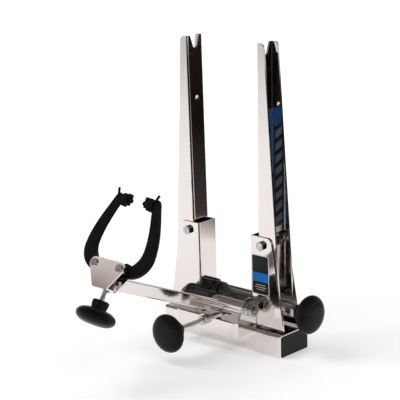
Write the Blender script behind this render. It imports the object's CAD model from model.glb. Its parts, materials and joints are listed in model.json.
import json
import math
import bmesh
import bpy
import numpy as np
from mathutils import Matrix, Vector


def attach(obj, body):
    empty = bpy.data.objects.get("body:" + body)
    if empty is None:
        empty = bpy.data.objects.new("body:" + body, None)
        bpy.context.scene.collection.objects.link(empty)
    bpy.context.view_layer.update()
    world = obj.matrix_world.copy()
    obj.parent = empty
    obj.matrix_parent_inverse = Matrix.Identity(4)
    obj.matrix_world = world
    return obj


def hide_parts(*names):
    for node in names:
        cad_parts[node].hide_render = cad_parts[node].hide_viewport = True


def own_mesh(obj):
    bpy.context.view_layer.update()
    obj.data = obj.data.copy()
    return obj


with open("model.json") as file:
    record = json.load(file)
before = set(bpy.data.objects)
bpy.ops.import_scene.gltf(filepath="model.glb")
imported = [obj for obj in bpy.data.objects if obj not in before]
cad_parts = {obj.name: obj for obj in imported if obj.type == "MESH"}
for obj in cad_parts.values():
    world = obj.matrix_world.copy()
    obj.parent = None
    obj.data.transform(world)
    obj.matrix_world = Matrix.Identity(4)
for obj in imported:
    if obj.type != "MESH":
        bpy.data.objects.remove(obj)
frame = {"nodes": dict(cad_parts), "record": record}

print("stage 1: frame loaded")
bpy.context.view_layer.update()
scene = bpy.context.scene
scene.view_settings.view_transform = "Standard"
mm = 0.001


cameraPlace = {
    "azimuth": 43.113,
    "elevation": 14.439,
    "roll": -1.599,
    "distance": 2.2142,
    "target": (-0.035683, -0.033603, 0.221202),
    "lens": 130.5,
    "sensor": 36,
    "clip": (0.05, 60),
}


def makeCamera(place):
    a, e, r = (math.radians(place[key]) for key in ("azimuth", "elevation", "roll"))
    back = Vector((math.sin(a) * math.cos(e), -math.cos(a) * math.cos(e), math.sin(e)))
    side = Vector((math.cos(a), math.sin(a), 0))
    up = back.cross(side)
    axisX = math.cos(r) * side + math.sin(r) * up
    axisY = -math.sin(r) * side + math.cos(r) * up
    data = bpy.data.cameras.new("camera")
    data.sensor_fit = "HORIZONTAL"
    data.sensor_width = place["sensor"]
    data.lens = place["lens"]
    data.clip_start, data.clip_end = place["clip"]
    camera = bpy.data.objects.new("camera", data)
    scene.collection.objects.link(camera)
    turn = Matrix((axisX, axisY, back)).transposed().to_4x4()
    spot = Vector(place["target"]) + place["distance"] * back
    camera.matrix_world = Matrix.Translation(spot) @ turn
    scene.camera = camera


# Node helpers: each takes sockets or plain numbers
def feed(tree, value, socket):
    if isinstance(value, bpy.types.NodeSocket):
        tree.links.new(value, socket)
    else:
        socket.default_value = value


def calc(tree, operation, *values, clamp=False):
    made = tree.nodes.new("ShaderNodeMath")
    made.operation = operation
    made.use_clamp = clamp
    for value, socket in zip(values, made.inputs):
        feed(tree, value, socket)
    return made.outputs[0]


def blendColour(tree, share, first, second):
    made = tree.nodes.new("ShaderNodeMix")
    made.data_type = "RGBA"
    feed(tree, share, made.inputs[0])
    feed(tree, first, made.inputs[6])
    feed(tree, second, made.inputs[7])
    return made.outputs[2]


def remap(tree, value, low, high, newLow, newHigh):
    made = tree.nodes.new("ShaderNodeMapRange")
    for number, socket in zip((value, low, high, newLow, newHigh), made.inputs):
        feed(tree, number, socket)
    return made.outputs[0]


def objectPlace(tree, stretch=(1, 1, 1)):
    source = tree.nodes.new("ShaderNodeTexCoord")
    mapping = tree.nodes.new("ShaderNodeMapping")
    mapping.inputs["Scale"].default_value = stretch
    tree.links.new(source.outputs["Object"], mapping.inputs["Vector"])
    return mapping.outputs[0]


def noise(tree, place, scale, detail=2.0, roughness=0.5):
    made = tree.nodes.new("ShaderNodeTexNoise")
    tree.links.new(place, made.inputs["Vector"])
    made.inputs["Scale"].default_value = scale
    made.inputs["Detail"].default_value = detail
    made.inputs["Roughness"].default_value = roughness
    return made.outputs["Fac"]


def bumpFrom(tree, height, distance, strength=1.0):
    made = tree.nodes.new("ShaderNodeBump")
    made.inputs["Distance"].default_value = distance
    made.inputs["Strength"].default_value = strength
    tree.links.new(height, made.inputs["Height"])
    return made.outputs[0]


def startMaterial(name):
    material = bpy.data.materials.new(name)
    material.use_nodes = True
    return material, material.node_tree, material.node_tree.nodes["Principled BSDF"]


def rgb(red, green, blue):
    return (red, green, blue, 1.0)


# 1 for a ray from the camera, from polished metal or through glass
def seenShare(tree, path):
    seen = calc(tree, "MAXIMUM", path.outputs["Is Camera Ray"], path.outputs["Is Glossy Ray"])
    return calc(tree, "MAXIMUM", seen, path.outputs["Is Transmission Ray"])


stageLook = {
    "floorSize": 24,
    "floorHeight": -0.0006,
    "floorColour": rgb(0.8, 0.795, 0.79),
    "glowNear": 0.36,
    "glowFar": 0.9,
    "glowInMetal": 0.36,
    "glowFrom": 0.45,
    "glowTo": 1.8,
    "worldLight": 0.3,
    "horizon": rgb(0.93, 0.91, 0.9),
    "overhead": rgb(0.16, 0.145, 0.14),
    "softLamp": rgb(0.95, 0.87, 0.82),
    "softLampAt": (-0.7036, -0.5168, 0.4876),
    "softLampEdge": math.cos(math.radians(3.9)),
    "softLampCore": math.cos(math.radians(1.2)),
    "fadeFrom": 0.12,
    "fadeTo": 0.42,
}


def makeFloor(look):
    bpy.ops.mesh.primitive_plane_add(size=look["floorSize"], location=(0, 0, look["floorHeight"]))
    floor = bpy.context.object
    floor.name = "floor"
    material = bpy.data.materials.new("floorPaper")
    material.use_nodes = True
    tree = material.node_tree
    tree.nodes.clear()
    out = tree.nodes.new("ShaderNodeOutputMaterial")
    paper = tree.nodes.new("ShaderNodeBsdfDiffuse")
    paper.inputs["Color"].default_value = look["floorColour"]
    glow = tree.nodes.new("ShaderNodeEmission")
    path = tree.nodes.new("ShaderNodeLightPath")
    seen = seenShare(tree, path)
    # the paper glows more with distance from the stand, so that its far part stays white
    away = tree.nodes.new("ShaderNodeVectorMath")
    away.operation = "LENGTH"
    tree.links.new(objectPlace(tree), away.inputs[0])
    direct = path.outputs["Is Camera Ray"]
    far = remap(tree, away.outputs["Value"], look["glowFrom"], look["glowTo"],
                look["glowNear"], look["glowFar"])
    far = calc(tree, "MULTIPLY", direct, far)
    near = calc(tree, "MULTIPLY", calc(tree, "SUBTRACT", 1.0, direct), look["glowInMetal"])
    strength = calc(tree, "ADD", far, calc(tree, "MULTIPLY", seen, near))
    tree.links.new(strength, glow.inputs["Strength"])
    both = tree.nodes.new("ShaderNodeAddShader")
    tree.links.new(paper.outputs[0], both.inputs[0])
    tree.links.new(glow.outputs[0], both.inputs[1])
    tree.links.new(both.outputs[0], out.inputs[0])
    floor.data.materials.append(material)


def makeRoom(look):
    world = bpy.data.worlds.new("studio")
    scene.world = world
    world.use_nodes = True
    tree = world.node_tree
    tree.nodes.clear()
    out = tree.nodes.new("ShaderNodeOutputWorld")
    sky = tree.nodes.new("ShaderNodeBackground")
    # polished metal sees a pale horizon that darkens overhead, as in a room round a lit table
    source = tree.nodes.new("ShaderNodeTexCoord")
    parts = tree.nodes.new("ShaderNodeSeparateXYZ")
    tree.links.new(source.outputs["Generated"], parts.inputs[0])
    rise = remap(tree, parts.outputs[2], look["fadeFrom"], look["fadeTo"], 0.0, 1.0)
    room = blendColour(tree, rise, look["horizon"], look["overhead"])
    # a soft lamp high on the left, which shades the calliper head's plate from top to bottom
    toward = tree.nodes.new("ShaderNodeVectorMath")
    toward.operation = "DOT_PRODUCT"
    toward.inputs[1].default_value = look["softLampAt"]
    tree.links.new(source.outputs["Generated"], toward.inputs[0])
    soft = remap(tree, toward.outputs["Value"], look["softLampEdge"], look["softLampCore"], 0.0, 1.0)
    room = blendColour(tree, soft, room, look["softLamp"])
    path = tree.nodes.new("ShaderNodeLightPath")
    seen = seenShare(tree, path)
    even = look["worldLight"]
    tree.links.new(blendColour(tree, seen, rgb(even, even, even), room), sky.inputs["Color"])
    tree.links.new(sky.outputs[0], out.inputs[0])


lamps = {
    "keyLamp": {"at": (-1.1, -1.0, 2.2), "size": 1.3, "power": 27, "tint": (1, 0.98, 0.96)},
    "sideLamp": {"at": (1.7, -0.9, 1.7), "size": 1.2, "power": 11, "tint": (0.98, 0.99, 1)},
    "backLamp": {"at": (-0.3, 1.8, 2.0), "size": 1.6, "power": 16, "tint": (1, 1, 1)},
}
lampsAim = Vector((0, 0, 0.15))


def makeLamps(rows):
    for name, row in rows.items():
        data = bpy.data.lights.new(name, "AREA")
        data.size = row["size"]
        data.energy = row["power"]
        data.color = row["tint"]
        lamp = bpy.data.objects.new(name, data)
        scene.collection.objects.link(lamp)
        lamp.location = row["at"]
        lamp.rotation_mode = "QUATERNION"
        lamp.rotation_quaternion = (lampsAim - Vector(row["at"])).to_track_quat("-Z", "Y")
        lamp.visible_glossy = False


# Cards that only the polished metal sees, as a photographer stands them beside chrome.
# Each has four corners and a colour that runs through the stops along one axis.
cards = {
    "cardRightBack": {
        "corners": [(0.2, 0.38, 0.002), (3.4, 0.38, 0.002), (3.4, 3.6, 0.002), (0.2, 3.6, 0.002)],
        "axis": 1,
        "stops": [
            (0.38, rgb(0.8, 0.76, 0.74)),
            (0.46, rgb(0.42, 0.37, 0.34)),
            (0.52, rgb(0.045, 0.038, 0.038)),
            (0.9, rgb(0.026, 0.021, 0.021)),
            (1.3, rgb(0.01, 0.006, 0.005)),
        ],
    },
    "cardRightFront": {
        "corners": [(0.2, -3.4, 0.002), (3.4, -3.4, 0.002), (3.4, -0.1, 0.002), (0.2, -0.1, 0.002)],
        "axis": 1,
        "stops": [(-1.6, rgb(0.001, 0.001, 0.0015)), (-0.1, rgb(0.003, 0.003, 0.004))],
    },
}


def makeCards(rows):
    for name, row in rows.items():
        mesh = bpy.data.meshes.new(name)
        mesh.from_pydata(row["corners"], [], [(0, 1, 2, 3)])
        card = bpy.data.objects.new(name, mesh)
        scene.collection.objects.link(card)
        material = bpy.data.materials.new(name)
        material.use_nodes = True
        tree = material.node_tree
        tree.nodes.clear()
        out = tree.nodes.new("ShaderNodeOutputMaterial")
        glow = tree.nodes.new("ShaderNodeEmission")
        parts = tree.nodes.new("ShaderNodeSeparateXYZ")
        tree.links.new(objectPlace(tree), parts.inputs[0])
        low, high = row["stops"][0][0], row["stops"][-1][0]
        ramp = tree.nodes.new("ShaderNodeValToRGB")
        held = ramp.color_ramp.elements  # a new ramp has two stops
        for number, (where, colour) in enumerate(row["stops"]):
            share = (where - low) / (high - low)
            stop = held[number] if number < 2 else held.new(share)
            stop.position = share
            stop.color = colour
        tree.links.new(remap(tree, parts.outputs[row["axis"]], low, high, 0.0, 1.0), ramp.inputs[0])
        tree.links.new(ramp.outputs[0], glow.inputs["Color"])
        tree.links.new(glow.outputs[0], out.inputs[0])
        mesh.materials.append(material)
        card.visible_camera = False
        card.visible_diffuse = False
        card.visible_shadow = False
        card.visible_transmission = False


makeCamera(cameraPlace)
makeFloor(stageLook)
makeRoom(stageLook)
makeLamps(lamps)
makeCards(cards)
print("stage 2: camera, floor and lamps")


# The middle part of a noise's values, which is spread over the range that a finish gives
noiseSpan = (0.3, 0.7)
cloudSpan = (0.35, 0.65)


def roughFrom(tree, value, look):
    return remap(tree, value, *noiseSpan, look["roughLow"], look["roughHigh"])


def chromeFinish(name, look):
    material, tree, shader = startMaterial(name)
    place = objectPlace(tree)
    patches = noise(tree, place, look["patchScale"], 2)
    streaks = noise(tree, objectPlace(tree, look["streakStretch"]), look["streakScale"], 3, 0.6)
    colour = blendColour(tree, patches, look["colour"], look["shade"])
    tree.links.new(colour, shader.inputs["Base Color"])
    shader.inputs["Metallic"].default_value = 1.0
    tree.links.new(roughFrom(tree, streaks, look), shader.inputs["Roughness"])
    waves = noise(tree, place, look["waveScale"], 1)
    height = calc(tree, "ADD", calc(tree, "MULTIPLY", waves, look["wave"]),
                  calc(tree, "MULTIPLY", streaks, look["streak"]))
    tree.links.new(bumpFrom(tree, height, 1 * mm), shader.inputs["Normal"])
    return material


def metalFinish(name, look):
    material, tree, shader = startMaterial(name)
    place = objectPlace(tree)
    grain = noise(tree, place, look["grainScale"], 4, 0.65)
    clouds = noise(tree, place, look["cloudScale"], 2)
    share = remap(tree, clouds, *cloudSpan, 0.0, 1.0)
    colour = blendColour(tree, share, look["colour"], look["second"])
    tree.links.new(colour, shader.inputs["Base Color"])
    shader.inputs["Metallic"].default_value = 1.0
    tree.links.new(roughFrom(tree, grain, look), shader.inputs["Roughness"])
    tree.links.new(bumpFrom(tree, grain, look["grain"]), shader.inputs["Normal"])
    return material


def plasticFinish(name, look):
    material, tree, shader = startMaterial(name)
    place = objectPlace(tree)
    grain = noise(tree, place, look["grainScale"], 3, 0.6)
    handling = noise(tree, place, look["smudgeScale"], 2)
    share = remap(tree, handling, *cloudSpan, 0.0, 1.0)
    colour = blendColour(tree, share, look["colour"], look["second"])
    tree.links.new(colour, shader.inputs["Base Color"])
    tree.links.new(roughFrom(tree, handling, look), shader.inputs["Roughness"])
    shader.inputs["Specular IOR Level"].default_value = look["specular"]
    shader.inputs["Coat Weight"].default_value = look["coat"]
    shader.inputs["Coat Roughness"].default_value = look["coatRough"]
    tree.links.new(bumpFrom(tree, grain, look["grain"]), shader.inputs["Normal"])
    return material


chromeLook = {
    "colour": rgb(0.84, 0.795, 0.775),
    "shade": rgb(0.78, 0.73, 0.71),
    "patchScale": 14,
    "streakStretch": (1, 1, 0.12),
    "streakScale": 620,
    "roughLow": 0.05,
    "roughHigh": 0.1,
    "waveScale": 11,
    "wave": 0.35,
    "streak": 0.006,
}
finishes = {
    "chrome": chromeFinish("polishedChrome", chromeLook),
    "tubeChrome": chromeFinish("polishedChromeAlongArm", {**chromeLook, "streakStretch": (1, 0.12, 1)}),
    "zinc": metalFinish("zincPlate", {
        "colour": rgb(0.6, 0.61, 0.61), "second": rgb(0.42, 0.44, 0.45), "cloudScale": 260,
        "grainScale": 1800, "grain": 0.00004, "roughLow": 0.1, "roughHigh": 0.2,
    }),
    "screwSteel": metalFinish("brightScrewSteel", {
        "colour": rgb(0.78, 0.77, 0.74), "second": rgb(0.64, 0.63, 0.6), "cloudScale": 180,
        "grainScale": 2400, "grain": 0.00002, "roughLow": 0.14, "roughHigh": 0.26,
    }),
    "brass": metalFinish("yellowZincPlate", {
        "colour": rgb(0.46, 0.36, 0.2), "second": rgb(0.34, 0.3, 0.2), "cloudScale": 300,
        "grainScale": 2000, "grain": 0.00003, "roughLow": 0.2, "roughHigh": 0.36,
    }),
    "springSteel": metalFinish("blackOxideSpring", {
        "colour": rgb(0.16, 0.155, 0.155), "second": rgb(0.08, 0.08, 0.082), "cloudScale": 200,
        "grainScale": 2600, "grain": 0.00002, "roughLow": 0.14, "roughHigh": 0.24,
    }),
    "enamel": plasticFinish("blackArmEnamel", {
        "colour": rgb(0.005, 0.005, 0.0055), "second": rgb(0.008, 0.008, 0.0085), "smudgeScale": 70,
        "grainScale": 2200, "grain": 0.00005, "roughLow": 0.36, "roughHigh": 0.5,
        "specular": 0.08, "coat": 0.0, "coatRough": 0.35,
    }),
    "moulding": plasticFinish("blackMoulding", {
        "colour": rgb(0.005, 0.005, 0.006), "second": rgb(0.008, 0.008, 0.009), "smudgeScale": 90,
        "grainScale": 1900, "grain": 0.00004, "roughLow": 0.24, "roughHigh": 0.34,
        "specular": 0.4, "coat": 0.15, "coatRough": 0.2,
    }),
    "knobPlastic": plasticFinish("blackKnobPlastic", {
        "colour": rgb(0.006, 0.0055, 0.0055), "second": rgb(0.01, 0.009, 0.009), "smudgeScale": 45,
        "grainScale": 1500, "grain": 0.00003, "roughLow": 0.26, "roughHigh": 0.36,
        "specular": 0.1, "coat": 0.05, "coatRough": 0.2,
    }),
}


# How far a point lies past the straight middle parts of a rounded rectangle, by Pythagoras from
# its distances to the two middle lines
def cornerReach(tree, across, acrossHalf, upward, upwardHalf):
    overs = [calc(tree, "MAXIMUM", calc(tree, "SUBTRACT", away, half), 0.0)
             for away, half in ((across, acrossHalf), (upward, upwardHalf))]
    squares = [calc(tree, "MULTIPLY", over, over) for over in overs]
    return calc(tree, "SQRT", calc(tree, "ADD", *squares))


# The base's chrome turns into a black plate inside a rounded outline on each end face
endPlate = {
    "endAt": 119.4 * mm,
    "halfWidth": 31.6 * mm,
    "top": 33.4 * mm,
    "corner": 3 * mm,
    "colour": rgb(0.007, 0.007, 0.0075),
    "rough": 0.4,
    "specular": 0.2,
}


def baseFinish(name, look, plate):
    material = chromeFinish(name, look)
    tree = material.node_tree
    shader = tree.nodes["Principled BSDF"]
    parts = tree.nodes.new("ShaderNodeSeparateXYZ")
    tree.links.new(objectPlace(tree), parts.inputs[0])
    x, y, z = (calc(tree, "ABSOLUTE", socket) for socket in parts.outputs)
    middle = plate["top"] / 2
    awayZ = calc(tree, "ABSOLUTE", calc(tree, "SUBTRACT", z, middle))
    reach = cornerReach(tree, y, plate["halfWidth"] - plate["corner"], awayZ, middle - plate["corner"])
    inside = calc(tree, "LESS_THAN", reach, plate["corner"])
    mask = calc(tree, "MULTIPLY", inside, calc(tree, "GREATER_THAN", x, plate["endAt"]))
    chromeColour = shader.inputs["Base Color"].links[0].from_socket
    tree.links.new(blendColour(tree, mask, chromeColour, plate["colour"]), shader.inputs["Base Color"])
    tree.links.new(calc(tree, "SUBTRACT", 1.0, mask), shader.inputs["Metallic"])
    chromeRough = shader.inputs["Roughness"].links[0].from_socket
    rough = calc(tree, "MAXIMUM", chromeRough, calc(tree, "MULTIPLY", mask, plate["rough"]))
    tree.links.new(rough, shader.inputs["Roughness"])
    shader.inputs["Specular IOR Level"].default_value = plate["specular"]
    return material


baseLook = {**chromeLook, "streakStretch": (0.12, 1, 1)}
finishes["baseChrome"] = baseFinish("polishedChromeBase", baseLook, endPlate)
print("stage 3: finishes")


bodies = frame["record"]["behaviour"]["bodies"]
nodeBody = {node: body for body, nodes in bodies.items() for node in nodes}
slots = {row["node"]: row["material_slot"] for row in frame["record"]["subparts"]}
samePoint = 1e-7  # corners of a new mesh closer than this are one, in metres


def addPiece(name, points, faces, material, body, replaced=(), sharp=40):
    mesh = bpy.data.meshes.new(name)
    mesh.from_pydata(points.tolist(), [], faces.tolist() if hasattr(faces, "tolist") else faces)
    mesh.validate()
    made = bpy.data.objects.new(name, mesh)
    scene.collection.objects.link(made)
    mesh.materials.append(material)
    finishNormals(mesh, sharp)
    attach(made, body)
    if replaced:
        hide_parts(*replaced)
    return made


def finishNormals(mesh, sharp):
    work = bmesh.new()
    work.from_mesh(mesh)
    bmesh.ops.remove_doubles(work, verts=work.verts, dist=samePoint)
    bmesh.ops.recalc_face_normals(work, faces=work.faces)
    work.to_mesh(mesh)
    work.free()
    mesh.polygons.foreach_set("use_smooth", np.ones(len(mesh.polygons), bool))
    mesh.set_sharp_from_angle(angle=math.radians(sharp))


# Quads between neighbouring rows and columns of a grid whose columns close on themselves
def closedGridFaces(rows, columns):
    i, j = np.meshgrid(np.arange(rows - 1), np.arange(columns), indexing="ij")
    k = (j + 1) % columns
    low, high = i * columns, (i + 1) * columns
    return np.stack([low + j, low + k, high + k, high + j], -1).reshape(-1, 4)


# Axes of the places where pieces sit: origin, x, y and z in metres
headLean = math.radians(32)
headOrigin = np.array([0, -0.292569, 0.111236])
headUp = np.array([0, math.sin(headLean), math.cos(headLean)])
headOut = np.array([0, -math.cos(headLean), math.sin(headLean)])
axisX, axisY, axisZ = np.eye(3)


def placed(local, origin, alongX, alongY, alongZ):
    return origin + local[..., 0:1] * alongX + local[..., 1:2] * alongY + local[..., 2:3] * alongZ


# A profile turned round the local z axis. At angle t a ring's radius grows by its rib height times
# a wave: the part of cos(ribs * t) above one half, scaled to 0 ... 1 and rounded by a power
def turnedSurface(radius, height, ribHeight, ribs, around):
    t = np.linspace(0, 2 * np.pi, around, endpoint=False)
    wave = np.clip((np.cos(ribs * t) - 0.5) / 0.5, 0, 1) ** 0.6
    r = radius[:, None] + ribHeight[:, None] * wave[None, :]
    return np.stack([r * np.cos(t), r * np.sin(t), np.broadcast_to(height[:, None], r.shape)], -1)


knobShape = {
    "diameter": 59 * mm,
    "depth": 24 * mm,
    "roundness": 0.65,
    "hubDiameter": 22 * mm,
    "hubLength": 12 * mm,
    "hubChamfer": 0.6 * mm,
    "ribHeight": 1.5 * mm,
    "ribs": 10,
    "around": 120,
}


def makeKnob(name, shape, origin, outward, sideways, body, node):
    # head: r = R cos(a)^roundness and z = half depth * sin(a), from a = -77 degrees, where the hub
    # meets it; the hub widens with the fourth power of the way there
    half, hub, chamfer = shape["depth"] / 2, shape["hubDiameter"] / 2, shape["hubChamfer"]
    back = -half - shape["hubLength"]
    a = np.radians(np.concatenate([np.linspace(-77, -60, 5), np.linspace(-55, 89, 54)]))
    headR = shape["diameter"] / 2 * np.cos(a) ** shape["roundness"]
    headZ = half * np.sin(a)
    u = np.linspace(0, 1, 12)
    hubR = hub + (headR[0] - hub) * u ** 4
    hubZ = back + chamfer + (headZ[0] - back - chamfer) * u
    radius = np.concatenate([[0.0], [hub - chamfer], hubR[:-1], headR, [0.0]])
    height = np.concatenate([[back], [back], hubZ[:-1], headZ, [half]])
    onHub = shape["ribHeight"] * (1 - u[:-1] ** 3) * (u[:-1] > 0)
    ribHeight = np.concatenate([[0, 0], onHub, np.zeros(len(headR) + 1)])
    local = turnedSurface(radius, height, ribHeight, shape["ribs"], shape["around"])
    points = placed(local.reshape(-1, 3), origin, sideways, np.cross(outward, sideways), outward)
    faces = closedGridFaces(len(radius), shape["around"])
    return addPiece(name, points, faces, finishes["knobPlastic"], body, [node], 50)


spreaderKnobAt = np.array([0.1505, 0, 0.067])
heightKnobAt = np.array([0, -0.149, 0.046])
makeKnob("spreaderKnob", knobShape, spreaderKnobAt, axisX, axisY, "spreader", "spreader_knob")
makeKnob("heightKnob", knobShape, heightKnobAt, -axisY, axisX, "height_knob_screw", "height_knob")
makeKnob("calliperKnob", knobShape, headOrigin, -headUp, axisX, "calliper_knob_screw", "calliper_knob")
print("stage 4: knobs")


# A screw: at height z and angle t the radius is r - depth * a triangle wave of
# z / pitch - hand * t / 2 pi, faded in and out over one pitch at each end of a thread
def screwSurface(radius, length, pitch, depth, threads, hands, chamfer, around=28):
    stepZ = pitch / 6
    z = np.arange(0, length + stepZ / 2, stepZ) * (length / (stepZ * round(length / stepZ)))
    z = z[z <= length + 1e-9]
    t = np.linspace(0, 2 * np.pi, around, endpoint=False)
    r = np.full((len(z), around), radius)
    for (low, high), hand in zip(threads, hands):
        phase = z[:, None] / pitch - hand * t[None, :] / (2 * np.pi)
        wave = np.abs(2 * (phase - np.floor(phase)) - 1)
        fade = np.clip((z - low) / pitch, 0, 1) * np.clip((high - z) / pitch, 0, 1)
        r = r - depth * wave * fade[:, None]
    cone = radius - np.clip(chamfer - np.minimum(z, length - z), 0, None)
    r = np.minimum(r, cone[:, None])
    rings = np.stack([r * np.cos(t), r * np.sin(t), np.broadcast_to(z[:, None], r.shape)], -1)
    first = np.zeros((1, around, 3))
    last = np.zeros((1, around, 3))
    last[..., 2] = length
    return np.concatenate([first, rings, last])


def makeScrew(name, start, along, sideways, size, body, nodes, material):
    local = screwSurface(**size)
    points = placed(local.reshape(-1, 3), start, sideways, np.cross(along, sideways), along)
    return addPiece(name, points, closedGridFaces(*local.shape[:2]), material, body, nodes, 60)


spreaderScrew = {
    "radius": 6 * mm, "length": 218.5 * mm, "pitch": 2 * mm, "depth": 0.95 * mm,
    "threads": [(1 * mm, 68 * mm), (84 * mm, 183 * mm)], "hands": [1, -1], "chamfer": 1 * mm,
}
heightScrew = {
    "radius": 4 * mm, "length": 110.9 * mm, "pitch": 1.5 * mm, "depth": 0.75 * mm,
    "threads": [(60 * mm, 110 * mm)], "hands": [1], "chamfer": 0.6 * mm,
}
calliperScrew = {
    "radius": 4 * mm, "length": 43.9 * mm, "pitch": 1.5 * mm, "depth": 0.75 * mm,
    "threads": [(19 * mm, 43.5 * mm)], "hands": [1], "chamfer": 0.6 * mm,
}
makeScrew("spreaderScrew", np.array([-0.0747, 0, 0.067]), axisX, axisY, spreaderScrew,
          "spreader", ["spreader_shaft"], finishes["screwSteel"])
makeScrew("heightScrew", np.array([0, -0.1425, 0.046]), axisY, axisZ, heightScrew,
          "height_knob_screw", ["height_screw"], finishes["screwSteel"])
makeScrew("calliperScrew", headOrigin + 6.5 * mm * headUp, headUp, axisX, calliperScrew,
          "calliper_knob_screw", ["calliper_screw"], finishes["screwSteel"])
print("stage 5: screws")


# A hex nut or head: radius at angle t is half the width across flats over the cosine of t to the
# nearest flat, cut by a 30 degree cone near each end; a bore makes it a nut
def makeHex(name, size, origin, along, sideways, turn, body, nodes, material, around=72):
    half, height, bore = size["flats"] / 2, size["height"], size["bore"] / 2
    t = np.linspace(0, 2 * np.pi, around, endpoint=False)
    toFlat = (t + np.pi / 6) % (np.pi / 3) - np.pi / 6
    hexR = half / np.cos(toFlat)
    rise = np.array([0, 0.04, 0.1, 0.16, 0.84, 0.9, 0.96, 1.0]) * height
    slope = 1 / math.tan(math.radians(30))
    edge = np.minimum(rise, height - rise) if size["bothEnds"] else height - rise
    cone = half * 0.985 + edge * slope
    r = np.minimum(hexR[None, :], cone[:, None])
    z = np.broadcast_to(rise[:, None], r.shape)
    inner = np.full((1, around), bore)
    outside = np.stack([r * np.cos(t), r * np.sin(t), z], -1)
    bottom, top = (np.stack([inner * np.cos(t), inner * np.sin(t), np.full((1, around), level)], -1)
                   for level in (0.0, height))
    local = np.concatenate([bottom, outside, top])
    rows = local.shape[0]
    faces = closedGridFaces(rows, around)
    if bore > 0:
        j = np.arange(around)
        k = (j + 1) % around
        last = (rows - 1) * around
        wall = np.stack([last + j, last + k, k, j], -1)
        faces = np.concatenate([faces, wall])
    c, s = math.cos(turn), math.sin(turn)
    other = np.cross(along, sideways)
    alongX, alongY = c * sideways + s * other, c * other - s * sideways
    points = placed(local.reshape(-1, 3), origin, alongX, alongY, along)
    return addPiece(name, points, faces, material, body, nodes, 25)


def nutSize(flats, height, bore, bothEnds=True):
    return {"flats": flats * mm, "height": height * mm, "bore": bore * mm, "bothEnds": bothEnds}


# Size, place in millimetres, axis, sideways direction, turn in degrees and node
nuts = {
    "pivotNut": (nutSize(19, 9, 12.1), (63.5, -35, 66), axisX, -axisZ, 42, "pivot_nut"),
    "pivotBoltHead": (nutSize(19, 9, 0), (-72.5, -35, 66), axisX, -axisZ, 30, "pivot_bolt"),
    "heightNut": (nutSize(14, 8, 8.1), (0, -76, 46), axisY, axisX, 0, "height_nut"),
    "spreaderLockNut": (nutSize(19, 7, 12.1), (119.5, 0, 67), axisX, -axisZ, 30, "spreader_lock_nut"),
    "rightSpreaderNut": (nutSize(22, 8, 13.2), (54.7, 0, 67), axisX, -axisZ, 30, "right_spreader_nut"),
    "leftSpreaderNut": (nutSize(22, 8, 13.2), (-62.7, 0, 67), axisX, -axisZ, 30, "left_spreader_nut"),
}
boltSize = {
    "radius": 4 * mm, "length": 14.7 * mm, "pitch": 1.25 * mm, "depth": 0.6 * mm,
    "threads": [(2 * mm, 14.7 * mm)], "hands": [1], "chamfer": 0.6 * mm,
}
pivotRod = {
    "radius": 6 * mm, "length": 139 * mm, "pitch": 1.75 * mm, "depth": 0.8 * mm,
    "threads": [(124 * mm, 138.5 * mm)], "hands": [1], "chamfer": 0.8 * mm,
}
for name, (size, place, onto, sideways, turn, node) in nuts.items():
    makeHex(name, size, np.array(place) * mm, onto, sideways, math.radians(turn),
            nodeBody[node], [node], finishes["zinc"])
makeScrew("pivotBoltRod", np.array([-63.5, -35, 66]) * mm, axisX, axisY, pivotRod,
          "base", ["pivot_bolt"], finishes["brass"])
for side, sign in (("left", -1), ("right", 1)):
    for face, t in (("Front", -1), ("Back", 1)):
        body = side + "_upright"
        spot = np.array([sign * 74.7, 0, 164.7])
        headAt, shankAt, nutAt = ((spot + [0, t * away, 0]) * mm for away in (20.2, 21.2, 14.5))
        makeHex(side + face + "BoltHead", nutSize(12.7, 5.3, 0, False), headAt, t * axisY, axisX,
                0, body, [side + "_bolts"], finishes["zinc"])
        makeScrew(side + face + "BoltShank", shankAt, -t * axisY, axisX, boltSize,
                  body, [side + "_bolts"], finishes["zinc"])
        makeHex(side + face + "BoltNut", nutSize(12.7, 6.5, 8.1), nutAt, -t * axisY, axisX,
                0, body, [side + "_bolt_nuts"], finishes["zinc"])
print("stage 6: nuts and bolts")


# A wound spring: a circle of the wire's radius carried along a helix round the local x axis.
# The end turns lie closer together, endPitch wires apart, and each end is cut square.
springMesh = {"stepsPerTurn": 40, "around": 12, "endPitch": 1.04}


def makeSpring(name, size, origin, along, out, body, nodes, material):
    steps, around = int(size["turns"] * springMesh["stepsPerTurn"]), springMesh["around"]
    u = np.linspace(0, 1, steps + 1)
    angle = size["start"] + 2 * np.pi * size["turns"] * u
    flat = size["closed"] / size["turns"]
    ease = np.clip((u - flat) / (1 - 2 * flat), 0, 1)
    wire = size["wire"] / 2
    lead = size["closed"] * size["wire"] * springMesh["endPitch"]
    x = wire + lead * np.clip(u / flat, 0, 1) + (size["length"] - 2 * wire - 2 * lead) * ease
    x = x + lead * np.clip((u - 1 + flat) / flat, 0, 1)
    other = np.cross(along, out)
    radial = np.cos(angle)[:, None] * out + np.sin(angle)[:, None] * other
    centre = origin + x[:, None] * along + size["radius"] * radial
    travel = np.gradient(centre, axis=0)
    travel /= np.linalg.norm(travel, axis=1)[:, None]
    side = np.cross(travel, radial)
    side /= np.linalg.norm(side, axis=1)[:, None]
    ring = np.linspace(0, 2 * np.pi, around, endpoint=False)[None, :, None]
    circle = np.cos(ring) * radial[:, None, :] + np.sin(ring) * side[:, None, :]
    tube = centre[:, None, :] + wire * circle
    ends = [np.repeat(centre[:1], around, 0)[None], tube, np.repeat(centre[-1:], around, 0)[None]]
    points = np.concatenate(ends)
    faces = closedGridFaces(len(points), around)
    return addPiece(name, points.reshape(-1, 3), faces, material, body, nodes, 60)


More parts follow.
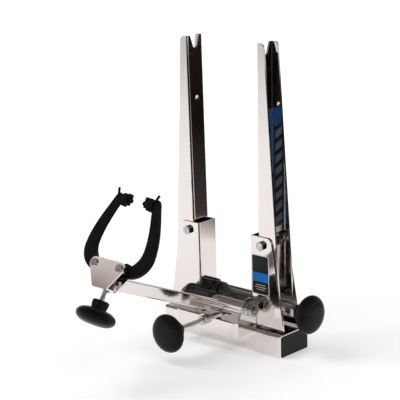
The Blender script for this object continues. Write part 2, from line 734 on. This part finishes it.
spreaderSpring = {
    "radius": 13.2 * mm, "wire": 2.2 * mm, "length": 75.8 * mm,
    "turns": 17, "closed": 1.0, "start": math.pi / 2,
}
armSpring = {
    "radius": 12.25 * mm, "wire": 2.5 * mm, "length": 48.9 * mm,
    "turns": 10, "closed": 1.0, "start": 4.0,
}
spring = makeSpring("spreaderSpring", spreaderSpring, np.array([-0.0239, 0, 0.067]), axisX, axisY,
                    "spreader", ["spreader_spring"], finishes["springSteel"])
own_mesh(spring)
makeSpring("armSpring", armSpring, np.array([-0.0587, -0.035, 0.066]), axisX, axisY,
           "base", ["arm_spring"], finishes["springSteel"])
calliperSpring = {
    "radius": 5.2 * mm, "wire": 1.4 * mm, "length": 8.9 * mm, "turns": 4, "closed": 0.8, "start": 0,
}
for side, sign in (("left", -1), ("right", 1)):
    seat = headOrigin + sign * 25 * mm * axisX + 72.5 * mm * headUp + 3.3 * mm * headOut
    makeSpring(side + "CalliperSpring", calliperSpring, seat, headOut, axisX,
               "arm", ["head_springs"], finishes["springSteel"])
print("stage 7: springs")


# A thin plate with rounded corners: its outline is four quarter circles joined by straight edges,
# given in two local directions
def roundedPlate(name, centre, across, up, size, corner, thick, material, body):
    t = np.linspace(0, np.pi / 2, 9)
    w, h = size[0] / 2 - corner, size[1] / 2 - corner
    quarter = np.stack([np.cos(t), np.sin(t)], -1) * corner
    turns = [((1, 1), (w, h)), ((-1, 1), (-w, h)), ((-1, -1), (-w, -h)), ((1, -1), (w, -h))]
    rows = []
    for number, (flip, offset) in enumerate(turns):
        arc = quarter * flip + offset
        rows.append(arc if number % 2 == 0 else arc[::-1])
    flat = np.concatenate(rows)
    n = len(flat)
    out = np.cross(across, up)
    lower = centre + flat[:, :1] * across + flat[:, 1:] * up
    points = np.concatenate([lower, lower + thick * out])
    j = np.arange(n)
    wall = np.stack([j, (j + 1) % n, (j + 1) % n + n, j + n], -1)
    faces = [tuple(range(n - 1, -1, -1)), tuple(range(n, 2 * n))] + wall.tolist()
    return addPiece(name, points, faces, material, body, (), 30)


# 1 inside the range low to high, with edges softened over the given width
def band(tree, value, low, high, soft=0.00012):
    rise = remap(tree, value, low - soft, low + soft, 0.0, 1.0)
    fall = remap(tree, value, high - soft, high + soft, 1.0, 0.0)
    return calc(tree, "MULTIPLY", rise, fall)


labelPrint = {
    "centre": (71.75 * mm, 118.5 * mm), "size": (33.5 * mm, 62 * mm), "corner": 3.6 * mm,
    "border": 1.1 * mm, "paper": rgb(0.86, 0.85, 0.84), "field": rgb(0.006, 0.006, 0.008),
    "blue": rgb(0.004, 0.2, 0.62), "bandLow": 107.8 * mm, "bandHigh": 121.9 * mm,
    "lines": [(102.4, 103.2, 9), (98.8, 99.6, 11), (95.2, 96.0, 8)],
    "thick": 0.12 * mm, "soft": 0.1 * mm, "grainScale": 900, "grain": 0.00002,
    "roughLow": 0.26, "roughHigh": 0.38, "specular": 0.3,
}


# The fine grain of a printed plate
def printSurface(tree, shader, look):
    grain = noise(tree, objectPlace(tree), look["grainScale"], 2)
    tree.links.new(roughFrom(tree, grain, look), shader.inputs["Roughness"])
    tree.links.new(bumpFrom(tree, grain, look["grain"]), shader.inputs["Normal"])
    shader.inputs["Specular IOR Level"].default_value = look["specular"]


def labelFinish(name, look):
    material, tree, shader = startMaterial(name)
    parts = tree.nodes.new("ShaderNodeSeparateXYZ")
    tree.links.new(objectPlace(tree), parts.inputs[0])
    x = calc(tree, "SUBTRACT", parts.outputs[0], look["centre"][0])
    z = calc(tree, "SUBTRACT", parts.outputs[2], look["centre"][1])
    halfX, halfZ = (length / 2 - look["corner"] for length in look["size"])
    reach = cornerReach(tree, calc(tree, "ABSOLUTE", x), halfX, calc(tree, "ABSOLUTE", z), halfZ)
    innerCorner = look["corner"] - look["border"]
    inside = remap(tree, reach, innerCorner - look["soft"], innerCorner + look["soft"], 1.0, 0.0)
    blueShare = band(tree, parts.outputs[2], look["bandLow"], look["bandHigh"])
    colour = blendColour(tree, blueShare, look["field"], look["blue"])
    for low, high, half in look["lines"]:
        line = calc(tree, "MULTIPLY", band(tree, parts.outputs[2], low * mm, high * mm),
                    band(tree, x, -half * mm, half * mm))
        colour = blendColour(tree, line, colour, look["paper"])
    tree.links.new(blendColour(tree, inside, look["paper"], colour), shader.inputs["Base Color"])
    printSurface(tree, shader, look)
    return material


labelAt = np.array([71.75, -20.2, 118.5]) * mm
roundedPlate("bracketLabel", labelAt, axisX, axisZ, labelPrint["size"], labelPrint["corner"],
             labelPrint["thick"], labelFinish("printedLabel", labelPrint),
             "right_upright")

# The right post leans outwards, and the strip lies on its web's inner face
postLean = math.radians(0.71)
postUp = np.array([math.sin(postLean), 0, math.cos(postLean)])
postOut = np.array([math.cos(postLean), 0, -math.sin(postLean)])
postFoot = np.array([65.2 - 94 * math.tan(postLean), 0, 84]) * mm
stripPrint = {
    "low": 184 * mm, "high": 367 * mm, "halfWidth": 13.2 * mm, "edge": 3 * mm,
    "blue": rgb(0.006, 0.085, 0.3), "field": rgb(0.004, 0.008, 0.02), "light": rgb(0.14, 0.16, 0.17),
    "fieldTop": 342 * mm, "pitch": 19 * mm, "share": 0.62, "slant": 0.45, "barHalf": 7.5 * mm,
    "offWeb": 3.01 * mm, "corner": 1.5 * mm, "thick": 0.12 * mm, "grainScale": 800, "grain": 0.00002,
    "roughLow": 0.3, "roughHigh": 0.42, "specular": 0.3,
}


def stripFinish(name, look):
    material, tree, shader = startMaterial(name)
    parts = tree.nodes.new("ShaderNodeSeparateXYZ")
    tree.links.new(objectPlace(tree), parts.inputs[0])
    y, z = parts.outputs[1], parts.outputs[2]
    fieldHalf = look["halfWidth"] - look["edge"]
    field = calc(tree, "MULTIPLY", band(tree, y, -fieldHalf, fieldHalf),
                 band(tree, z, look["low"] + look["edge"], look["fieldTop"]))
    slid = calc(tree, "ADD", z, calc(tree, "MULTIPLY", y, look["slant"]))
    turns = calc(tree, "FRACT", calc(tree, "DIVIDE", slid, look["pitch"]))
    bars = calc(tree, "MULTIPLY", band(tree, turns, 0.0, look["share"], 0.02),
                band(tree, y, -look["barHalf"], look["barHalf"], 0.0003))
    colour = blendColour(tree, field, look["blue"], look["field"])
    colour = blendColour(tree, calc(tree, "MULTIPLY", bars, field), colour, look["light"])
    tree.links.new(colour, shader.inputs["Base Color"])
    printSurface(tree, shader, look)
    return material


stripMiddle = (stripPrint["low"] + stripPrint["high"]) / 2
stripSize = (2 * stripPrint["halfWidth"], stripPrint["high"] - stripPrint["low"])
stripAt = postFoot + stripPrint["offWeb"] * postOut + (stripMiddle - postFoot[2]) * postUp
roundedPlate("postStrip", stripAt, axisY, postUp, stripSize, stripPrint["corner"],
             stripPrint["thick"], stripFinish("printedStrip", stripPrint),
             "right_upright")
print("stage 8: label and strip")


# A copy of a CAD node with joined faces and softened edges. Angles are in degrees
dressing = {"samePoint": 2e-6, "flatAngle": 0.6, "sharpAngle": 30, "smoothAngle": 40, "segments": 2}


def dressNode(node, material, soften, body):
    source = frame["nodes"][node]
    mesh = source.data.copy()
    name = "dressed_" + node
    mesh.name = name
    mesh.materials.clear()
    work = bmesh.new()
    work.from_mesh(mesh)
    bmesh.ops.remove_doubles(work, verts=work.verts, dist=dressing["samePoint"])
    bmesh.ops.dissolve_limit(work, angle_limit=math.radians(dressing["flatAngle"]),
                             verts=work.verts, edges=work.edges)
    sharp = math.radians(dressing["sharpAngle"])
    edges = [e for e in work.edges if len(e.link_faces) == 2 and e.calc_face_angle(0) > sharp]
    bmesh.ops.bevel(work, geom=edges, offset=soften, offset_type="OFFSET",
                    segments=dressing["segments"], profile=0.5, affect="EDGES", clamp_overlap=True)
    work.to_mesh(mesh)
    work.free()
    made = bpy.data.objects.new(name, mesh)
    scene.collection.objects.link(made)
    mesh.materials.append(material)
    mesh.polygons.foreach_set("use_smooth", np.ones(len(mesh.polygons), bool))
    mesh.set_sharp_from_angle(angle=math.radians(dressing["smoothAngle"]))
    weigh = made.modifiers.new("flatFaces", "WEIGHTED_NORMAL")
    weigh.keep_sharp = True
    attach(made, body)
    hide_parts(node)


# The finish of each dressed node and how far its edges are softened, in millimetres
dressed = {
    "base": ("baseChrome", 0.5), "arm_bracket": ("chrome", 0.4), "left_bracket": ("chrome", 0.4),
    "right_bracket": ("chrome", 0.4), "left_post": ("chrome", 0.4), "right_post": ("chrome", 0.4),
    "arm_tube": ("tubeChrome", 0.3), "head_bracket": ("chrome", 0.35),
    "left_calliper_arm": ("enamel", 0.6), "right_calliper_arm": ("enamel", 0.6),
    "left_finger": ("enamel", 0.3), "right_finger": ("enamel", 0.3),
    "collar": ("moulding", 0.4),
}
for node, (finish, soften) in dressed.items():
    dressNode(node, finishes[finish], soften * mm, nodeBody[node])
print("stage 9: folded sheet and arms")

# The nodes that stay as they are get their slot's finish
finishOfSlot = {
    "polished_chrome": "chrome", "zinc_steel": "zinc", "bright_screw": "screwSteel", "yellow_zinc": "brass",
    "black_steel": "enamel", "black_plastic": "moulding", "knob_black": "knobPlastic",
}
for node, made in frame["nodes"].items():
    material = finishes[finishOfSlot[slots[node]]]
    made.data.materials.clear()
    made.data.materials.append(material)
print("stage 10: finishes on the CAD nodes")
